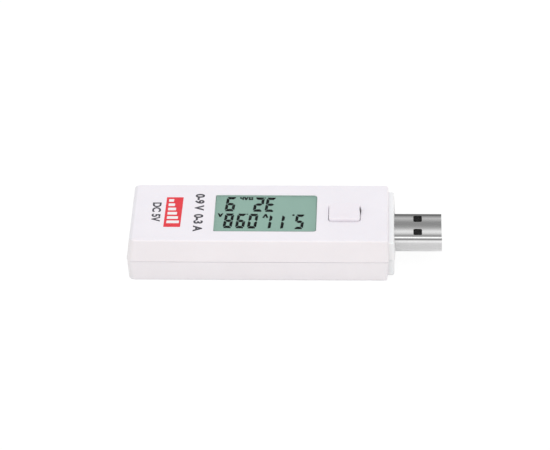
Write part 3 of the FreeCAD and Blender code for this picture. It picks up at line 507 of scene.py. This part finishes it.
# two pieces differ from the rest of their slot
own_materials = (
    ("lower_shell", shell_white("housing_white_lower", tint=(0.980, 0.990, 0.992))),
    ("plug_contacts", tipped_contact("contact_gold_tip")),
)
for piece_name, material in own_materials:
    for slot in pieces[piece_name].material_slots:
        slot.material = material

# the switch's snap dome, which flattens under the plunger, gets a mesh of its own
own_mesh(pieces["switch_dome"])


# ------------------------------------------------------------------ flat pieces
def add_to_housing(name, bm, material):
    """Makes an object from a bmesh and lets it ride on the housing."""
    mesh = bpy.data.meshes.new(name)
    bm.to_mesh(mesh)
    bm.free()
    plate = bpy.data.objects.new(name, mesh)
    scene.collection.objects.link(plate)
    mesh.materials.append(material)
    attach(plate, "housing")


def extrude_outlines(name, outlines, bottom, top, material):
    """Flat counter-clockwise outlines pushed up from bottom to top into closed plates."""
    bm = bmesh.new()
    for outline in outlines:
        lower = [bm.verts.new((x * MM, y * MM, bottom * MM)) for x, y in outline]
        upper = [bm.verts.new((x * MM, y * MM, top * MM)) for x, y in outline]
        bm.faces.new(list(reversed(lower)))
        bm.faces.new(upper)
        for i in range(len(outline)):
            j = (i + 1) % len(outline)
            bm.faces.new((lower[i], lower[j], upper[j], upper[i]))
    bmesh.ops.recalc_face_normals(bm, faces=bm.faces)
    add_to_housing(name, bm, material)


def counter_clockwise(outline):
    following = outline[1:] + outline[:1]
    area = sum(x0 * y1 - x1 * y0 for (x0, y0), (x1, y1) in zip(outline, following))
    return outline if area > 0 else list(reversed(outline))


def round_rect(x0, x1, y0, y1, radius, steps=6):
    points = []
    for centre_x, centre_y, start in ((x1 - radius, y0 + radius, -90),
                                      (x1 - radius, y1 - radius, 0),
                                      (x0 + radius, y1 - radius, 90),
                                      (x0 + radius, y0 + radius, 180)):
        for i in range(steps + 1):
            angle = math.radians(start + 90 * i / steps)
            points.append((centre_x + radius * math.cos(angle),
                           centre_y + radius * math.sin(angle)))
    return points


# ------------------------------------------------------------------ display segments
# Glyphs are drawn with x along the reading direction and y up, from their lower left corner.
# On the display, reading runs along -X and "up" is -Y.
UPRIGHT = 0.74                # width of a digit's upright strokes
LEVEL = 1.20                  # width of its level strokes
SLANT = 0.05                  # sideways lean for each unit of height
SKEW = math.radians(-1.15)    # the display sits very slightly turned in its frame
UPPER_BASE, LOWER_BASE = 0.18, 8.50    # Y of the base line of each row
SEGMENTS = {"0": "abcdef", "1": "bc", "2": "abged", "3": "abgcd", "5": "afgcd",
            "8": "abcdefg", "9": "abcdfg"}

# each row: base line, digit width and height,
# digits as (digit, X of its left side as read), dots as (X of the same side, width, height)
DIGIT_ROWS = (
    (UPPER_BASE, 2.33, 7.32,
     (("5", 11.98), ("1", 8.51), ("1", 5.32), ("0", 0.02), ("9", -3.03), ("8", -6.20)),
     ((9.24, 0.56, 0.76), (-2.70, 0.38, 0.5))),
    (LOWER_BASE, 2.50, 7.22,
     (("3", 4.25), ("2", 1.24), ("9", -6.04)),
     ((1.50, 0.36, 0.5),)),
)

# each unit mark: X of its left side as read, base line, strokes as (x0, y0, x1, y1, width)
UNIT_MARKS = (
    # V and A of the upper row
    (2.50, UPPER_BASE + 0.05, ((0.16, 2.0, 0.69, 0.10, 0.48), (0.67, 0.10, 1.24, 2.0, 0.48))),
    (-9.13, UPPER_BASE + 0.02, ((0.14, 0, 0.66, 1.80, 0.43), (0.64, 1.80, 1.20, 0, 0.43),
                                (0.36, 0.50, 0.94, 0.50, 0.16))),
    # m, A and h of the lower row
    (-1.85, LOWER_BASE + 0.1, ((0.13, 0, 0.13, 1.1, 0.34), (0.53, 0, 0.53, 1.1, 0.26),
                               (0.93, 0, 0.93, 1.1, 0.34), (-0.04, 1.30, 1.10, 1.30, 0.36))),
    (-3.11, LOWER_BASE + 0.1, ((0.08, 0, 0.5, 1.5, 0.40), (0.5, 1.5, 0.92, 0, 0.40),
                               (0.25, 0.45, 0.75, 0.45, 0.26))),
    (-4.25, LOWER_BASE + 0.1, ((0.13, 0, 0.13, 1.5, 0.36), (0.13, 0.86, 0.80, 0.86, 0.34),
                               (0.76, 0, 0.76, 0.9, 0.36))),
)


def seven_segment(digit, width, height):
    """Outlines of a digit's strokes; the corners between strokes stay open."""
    middle = height / 2
    bottom = [(0.20, 0), (width - 0.20, 0), (width - 0.30, LEVEL * 0.5),
              (width - UPRIGHT, LEVEL), (UPRIGHT, LEVEL), (0.30, LEVEL * 0.5)]
    inner_left, inner_right = UPRIGHT + 0.10, width - UPRIGHT - 0.10
    low, high = middle - LEVEL / 2, middle + LEVEL / 2
    centre = [(0.34, middle), (inner_left, low), (inner_right, low),
              (width - 0.34, middle), (inner_right, high), (inner_left, high)]
    lower_left = [(0, 0.80), (0.12, 0.66), (UPRIGHT, LEVEL + 0.14),
                  (UPRIGHT, low - 0.10), (0.24, middle - 0.12), (0, middle - 0.30)]
    strokes = {
        "a": [(x, height - y) for x, y in bottom],
        "b": [(width - x, height - y) for x, y in lower_left],
        "c": [(width - x, y) for x, y in lower_left],
        "d": bottom,
        "e": lower_left,
        "f": [(x, height - y) for x, y in lower_left],
        "g": centre,
    }
    if digit == "1":
        # with no level stroke beside it the upper upright runs further out
        strokes["b"][:3] = [(width, height - 0.24), (width - 0.12, height - 0.12),
                            (width - UPRIGHT, height - 0.42)]
    return [[(x + SLANT * y, y) for x, y in strokes[key]] for key in SEGMENTS[digit]]


def stroke_outline(x0, y0, x1, y1, width):
    """A straight stroke from one point to another."""
    dx, dy = x1 - x0, y1 - y0
    length = math.hypot(dx, dy)
    side_x, side_y = -dy / length * width / 2, dx / length * width / 2
    return [(x0 - side_x, y0 - side_y), (x1 - side_x, y1 - side_y),
            (x1 + side_x, y1 + side_y), (x0 + side_x, y0 + side_y)]


def on_display(outlines, left_x, base_y):
    """Glyph outlines set on the display, turned by its skew."""
    placed = []
    for outline in outlines:
        points = []
        for glyph_x, glyph_y in outline:
            x, y = left_x - glyph_x - WINDOW_X, base_y - glyph_y
            points.append((WINDOW_X + x * math.cos(SKEW) - y * math.sin(SKEW),
                           x * math.sin(SKEW) + y * math.cos(SKEW)))
        placed.append(counter_clockwise(points))
    return placed


def display_outlines():
    outlines = []
    for base, digit_width, digit_height, digits, dots in DIGIT_ROWS:
        for digit, left_x in digits:
            glyph = seven_segment(digit, digit_width, digit_height)
            outlines += on_display(glyph, left_x, base)
        for left_x, width, height in dots:
            dot = [(0, 0), (width, 0), (width, height), (0, height)]
            outlines += on_display([dot], left_x, base)
    for left_x, base, strokes in UNIT_MARKS:
        outlines += on_display([stroke_outline(*stroke) for stroke in strokes], left_x, base)
    return outlines


segment_ink = surface("display_segment", tones=((0.001, 0.003, 0.003), (0.003, 0.005, 0.005)),
                      mottle=1.0, roughness=(0.5, 0.6), specular=0.0, grain_mm=0.001)
extrude_outlines("display_segments", display_outlines(), FILM_TOP + 0.002, FILM_TOP + 0.02,
                 segment_ink)

# ------------------------------------------------------------------ printed badge
badge_red = surface("badge_red", tones=(srgb(224, 38, 52), srgb(234, 50, 63)), mottle=0.5,
                    roughness=(0.38, 0.48), grain=6, grain_mm=0.003, specular=0.3)
badge_white = surface("badge_white", tones=((0.84, 0.83, 0.84), (0.90, 0.89, 0.90)), mottle=1.0,
                      roughness=(0.4, 0.5), grain_mm=0.002)
legend_grey = surface("legend_grey", tones=(srgb(58, 56, 66), srgb(70, 68, 78)), mottle=1.5,
                      roughness=(0.45, 0.55), grain_mm=0.002)

PRINT_BOTTOM = BODY_TOP - 0.01      # prints start just inside the body
BADGE_X0, BADGE_X1 = -24.0, -19.7
BADGE_Y0, BADGE_Y1 = -7.34, 7.57
BADGE_LEAN = 0.013                  # printed as a very slight parallelogram
BAR_COUNT = 6
BAR_MARGIN = 1.0                    # from the badge's Y ends to the bars
BAR_FOOT = 0.65                     # from the badge's -X edge to the bars
BAR_FILL = 0.62                     # bar width as a share of the pitch
BAR_SHORTEST = 0.9                  # bar length before the first rise
BAR_X_SPARE = 2.0                   # badge width not used by the rise


def lean(outline):
    return [(x + BADGE_LEAN * y, y) for x, y in outline]


def level_bars():
    """Bars of rising length, from the +Y end to the -Y end."""
    outlines = []
    pitch = (BADGE_Y1 - BADGE_Y0 - 2 * BAR_MARGIN) / BAR_COUNT
    foot = BADGE_X0 + BAR_FOOT
    for i in range(BAR_COUNT):
        y1 = BADGE_Y1 - BAR_MARGIN - i * pitch
        y0 = y1 - pitch * BAR_FILL
        length = BAR_SHORTEST + (BADGE_X1 - BADGE_X0 - BAR_X_SPARE) * (i + 1) / BAR_COUNT
        outlines.append(lean(round_rect(foot, foot + length, y0, y1, radius=0.12)))
    return outlines


badge_outline = lean(round_rect(BADGE_X0, BADGE_X1, BADGE_Y0, BADGE_Y1, radius=0.15))
extrude_outlines("badge_block", [badge_outline], PRINT_BOTTOM, BODY_TOP + 0.02, badge_red)
extrude_outlines("badge_level_bars", level_bars(), BODY_TOP + 0.015, BODY_TOP + 0.03,
                 badge_white)


# ------------------------------------------------------------------ printed lettering
def text_mesh(name, text, weight):
    """Filled flat letters, thickened by weight, as a plain mesh."""
    curve = bpy.data.curves.new(name + "_curve", "FONT")
    curve.body = text
    curve.size = 1.0
    curve.resolution_u = 4
    curve.offset = weight
    holder = bpy.data.objects.new(name + "_tmp", curve)
    scene.collection.objects.link(holder)
    bpy.context.view_layer.update()
    evaluated = holder.evaluated_get(bpy.context.evaluated_depsgraph_get())
    mesh = bpy.data.meshes.new_from_object(evaluated)
    bpy.data.objects.remove(holder)
    return mesh


def legend(name, text, x0, x1, y0, y1, weight):
    """Lettering on the top face: reads from +Y to -Y, tops towards +X, stretched to its box."""
    flat = text_mesh(name, text, weight)
    xs = [v.co.x for v in flat.vertices]
    ys = [v.co.y for v in flat.vertices]
    left, right, bottom, top = min(xs), max(xs), min(ys), max(ys)
    bm = bmesh.new()
    bm.from_mesh(flat)
    bpy.data.meshes.remove(flat)
    bmesh.ops.remove_doubles(bm, verts=bm.verts, dist=1e-4)
    bmesh.ops.dissolve_degenerate(bm, dist=1e-4, edges=bm.edges)
    # where thickened outlines overlap, drop the sliver that an edge has too many of
    while True:
        crowded = [edge for edge in bm.edges if len(edge.link_faces) > 2]
        if not crowded:
            break
        sliver = min(crowded[0].link_faces, key=lambda face: face.calc_area())
        bmesh.ops.delete(bm, geom=[sliver], context="FACES")
    for vert in bm.verts:
        along = (vert.co.x - left) / (right - left)
        up = (vert.co.y - bottom) / (top - bottom)
        vert.co = Vector(((x0 + (x1 - x0) * up) * MM, (y1 - (y1 - y0) * along) * MM,
                          PRINT_BOTTOM * MM))
    bmesh.ops.recalc_face_normals(bm, faces=bm.faces)
    extruded = bmesh.ops.extrude_face_region(bm, geom=bm.faces[:])
    for item in extruded["geom"]:
        if isinstance(item, bmesh.types.BMVert):
            item.co.z = (BODY_TOP + 0.018) * MM
    bmesh.ops.recalc_face_normals(bm, faces=bm.faces)
    add_to_housing(name, bm, legend_grey)


legend("legend_ranges", "0-9 V  0-3 A", x0=-16.6, x1=-14.1, y0=-9.52, y1=9.33, weight=0.042)
legend("legend_supply", "DC 5V", x0=-27.4, x1=-25.1, y0=-4.67, y1=4.88, weight=0.036)

# ------------------------------------------------------------------ floor
FLOOR_HALF = 6.0        # metres
FLOOR_Z = -0.00002      # metres, just under the product


def floor_white(name):
    """White floor that mostly glows to the camera and is plain matt to other rays."""
    graph = material_graph(name)
    mottling = graph.noise(graph.coords(), scale=0.02, detail=3.0)
    colour = graph.two_tone(mottling, dark=grey(0.965), light=grey(0.985))
    matt = graph.add("BsdfDiffuse", {"Color": colour})
    glow = graph.add("Emission", {"Strength": 1.03})
    camera_ray = graph.add("LightPath", output="Is Camera Ray")
    glow_share = graph.calc("MULTIPLY", camera_ray, 0.93)
    return graph.finish(graph.mix_shader(glow_share, matt, glow))


floor_material = floor_white("studio_floor")
floor_mesh = bpy.data.meshes.new("floor")
floor_mesh.from_pydata([(x * FLOOR_HALF, y * FLOOR_HALF, FLOOR_Z)
                        for x, y in ((-1, -1), (1, -1), (1, 1), (-1, 1))], [], [(0, 1, 2, 3)])
floor = bpy.data.objects.new("floor", floor_mesh)
scene.collection.objects.link(floor)
floor_mesh.materials.append(floor_material)


# ------------------------------------------------------------------ world
def studio_world():
    """White to the camera; glossy rays see a studio that is dimmer part way up."""
    world = bpy.data.worlds.new("studio")
    scene.world = world
    graph = Graph(world, "OutputWorld")
    ray = graph.add("LightPath", output=None)
    direction = graph.xyz(graph.add("TexCoord", output="Generated"))
    # height of the direction: horizon 0, zenith 1
    height = graph.remap(direction["Z"])
    sky = graph.ramp(height, [(0.0, grey(0.90)), (1.0, grey(1.0))])
    for position, value in ((0.25, 0.85), (0.52, 0.82), (0.75, 0.95)):
        stop = sky.node.color_ramp.elements.new(position)
        stop.color = (*grey(value), 1)
    seen = graph.add("Background", {"Color": grey(1), "Strength": 1.1})
    reflected = graph.add("Background", {"Color": sky, "Strength": 1.0})
    lighting = graph.add("Background", {"Color": (1.0, 0.995, 1.0), "Strength": 0.952})
    unseen = graph.mix_shader(ray["Is Glossy Ray"], lighting, reflected)
    graph.finish(graph.mix_shader(ray["Is Camera Ray"], unseen, seen))


studio_world()


# ------------------------------------------------------------------ lights
def softbox(name, location, size, power):
    """A rectangular light aimed at the origin; location and size in metres, power in watts."""
    light = bpy.data.lights.new(name, "AREA")
    light.shape = "RECTANGLE"
    light.size, light.size_y = size
    light.energy = power
    light.color = (1, 1, 1)
    lamp = bpy.data.objects.new(name, light)
    scene.collection.objects.link(lamp)
    lamp.location = location
    aim = Vector((0, 0, 0)) - Vector(location)
    lamp.rotation_euler = aim.to_track_quat("-Z", "Y").to_euler()


softbox("key_softbox", location=(-0.25, -0.55, 0.85), size=(0.7, 0.7), power=0.7)
softbox("top_softbox", location=(0.1, 0.25, 1.0), size=(0.9, 0.6), power=0.35)

# ------------------------------------------------------------------ camera
YAW = math.radians(2.048)           # from -Y towards +X
ELEVATION = math.radians(30.83)
ROLL = math.radians(-0.801)
DISTANCE = 937.7
TARGET = Vector((4.166, 0.0, 8.016))
SENSOR_WIDTH = 36.0
FOCAL_LENGTH = 238.9156364

backward = Vector((math.sin(YAW) * math.cos(ELEVATION),
                   -math.cos(YAW) * math.cos(ELEVATION),
                   math.sin(ELEVATION)))
level_right = Vector((0, 0, 1)).cross(backward).normalized()
level_up = backward.cross(level_right)
right = level_right * math.cos(ROLL) + level_up * math.sin(ROLL)
up = -level_right * math.sin(ROLL) + level_up * math.cos(ROLL)

lens = bpy.data.cameras.new("camera")
lens.sensor_fit = "HORIZONTAL"
lens.sensor_width = SENSOR_WIDTH
lens.lens = FOCAL_LENGTH
lens.clip_start, lens.clip_end = 0.01, 50
camera = bpy.data.objects.new("camera", lens)
scene.collection.objects.link(camera)
turn = Matrix((right, up, backward)).transposed().to_4x4()
camera.matrix_world = Matrix.Translation((TARGET + backward * DISTANCE) * MM) @ turn
scene.camera = camera

scene.view_settings.view_transform = "Standard"
scene.view_settings.look = "None"
scene.view_settings.exposure = 0.0
scene.view_settings.gamma = 1.0

# ------------------------------------------------------------------ finish
bpy.context.view_layer.update()
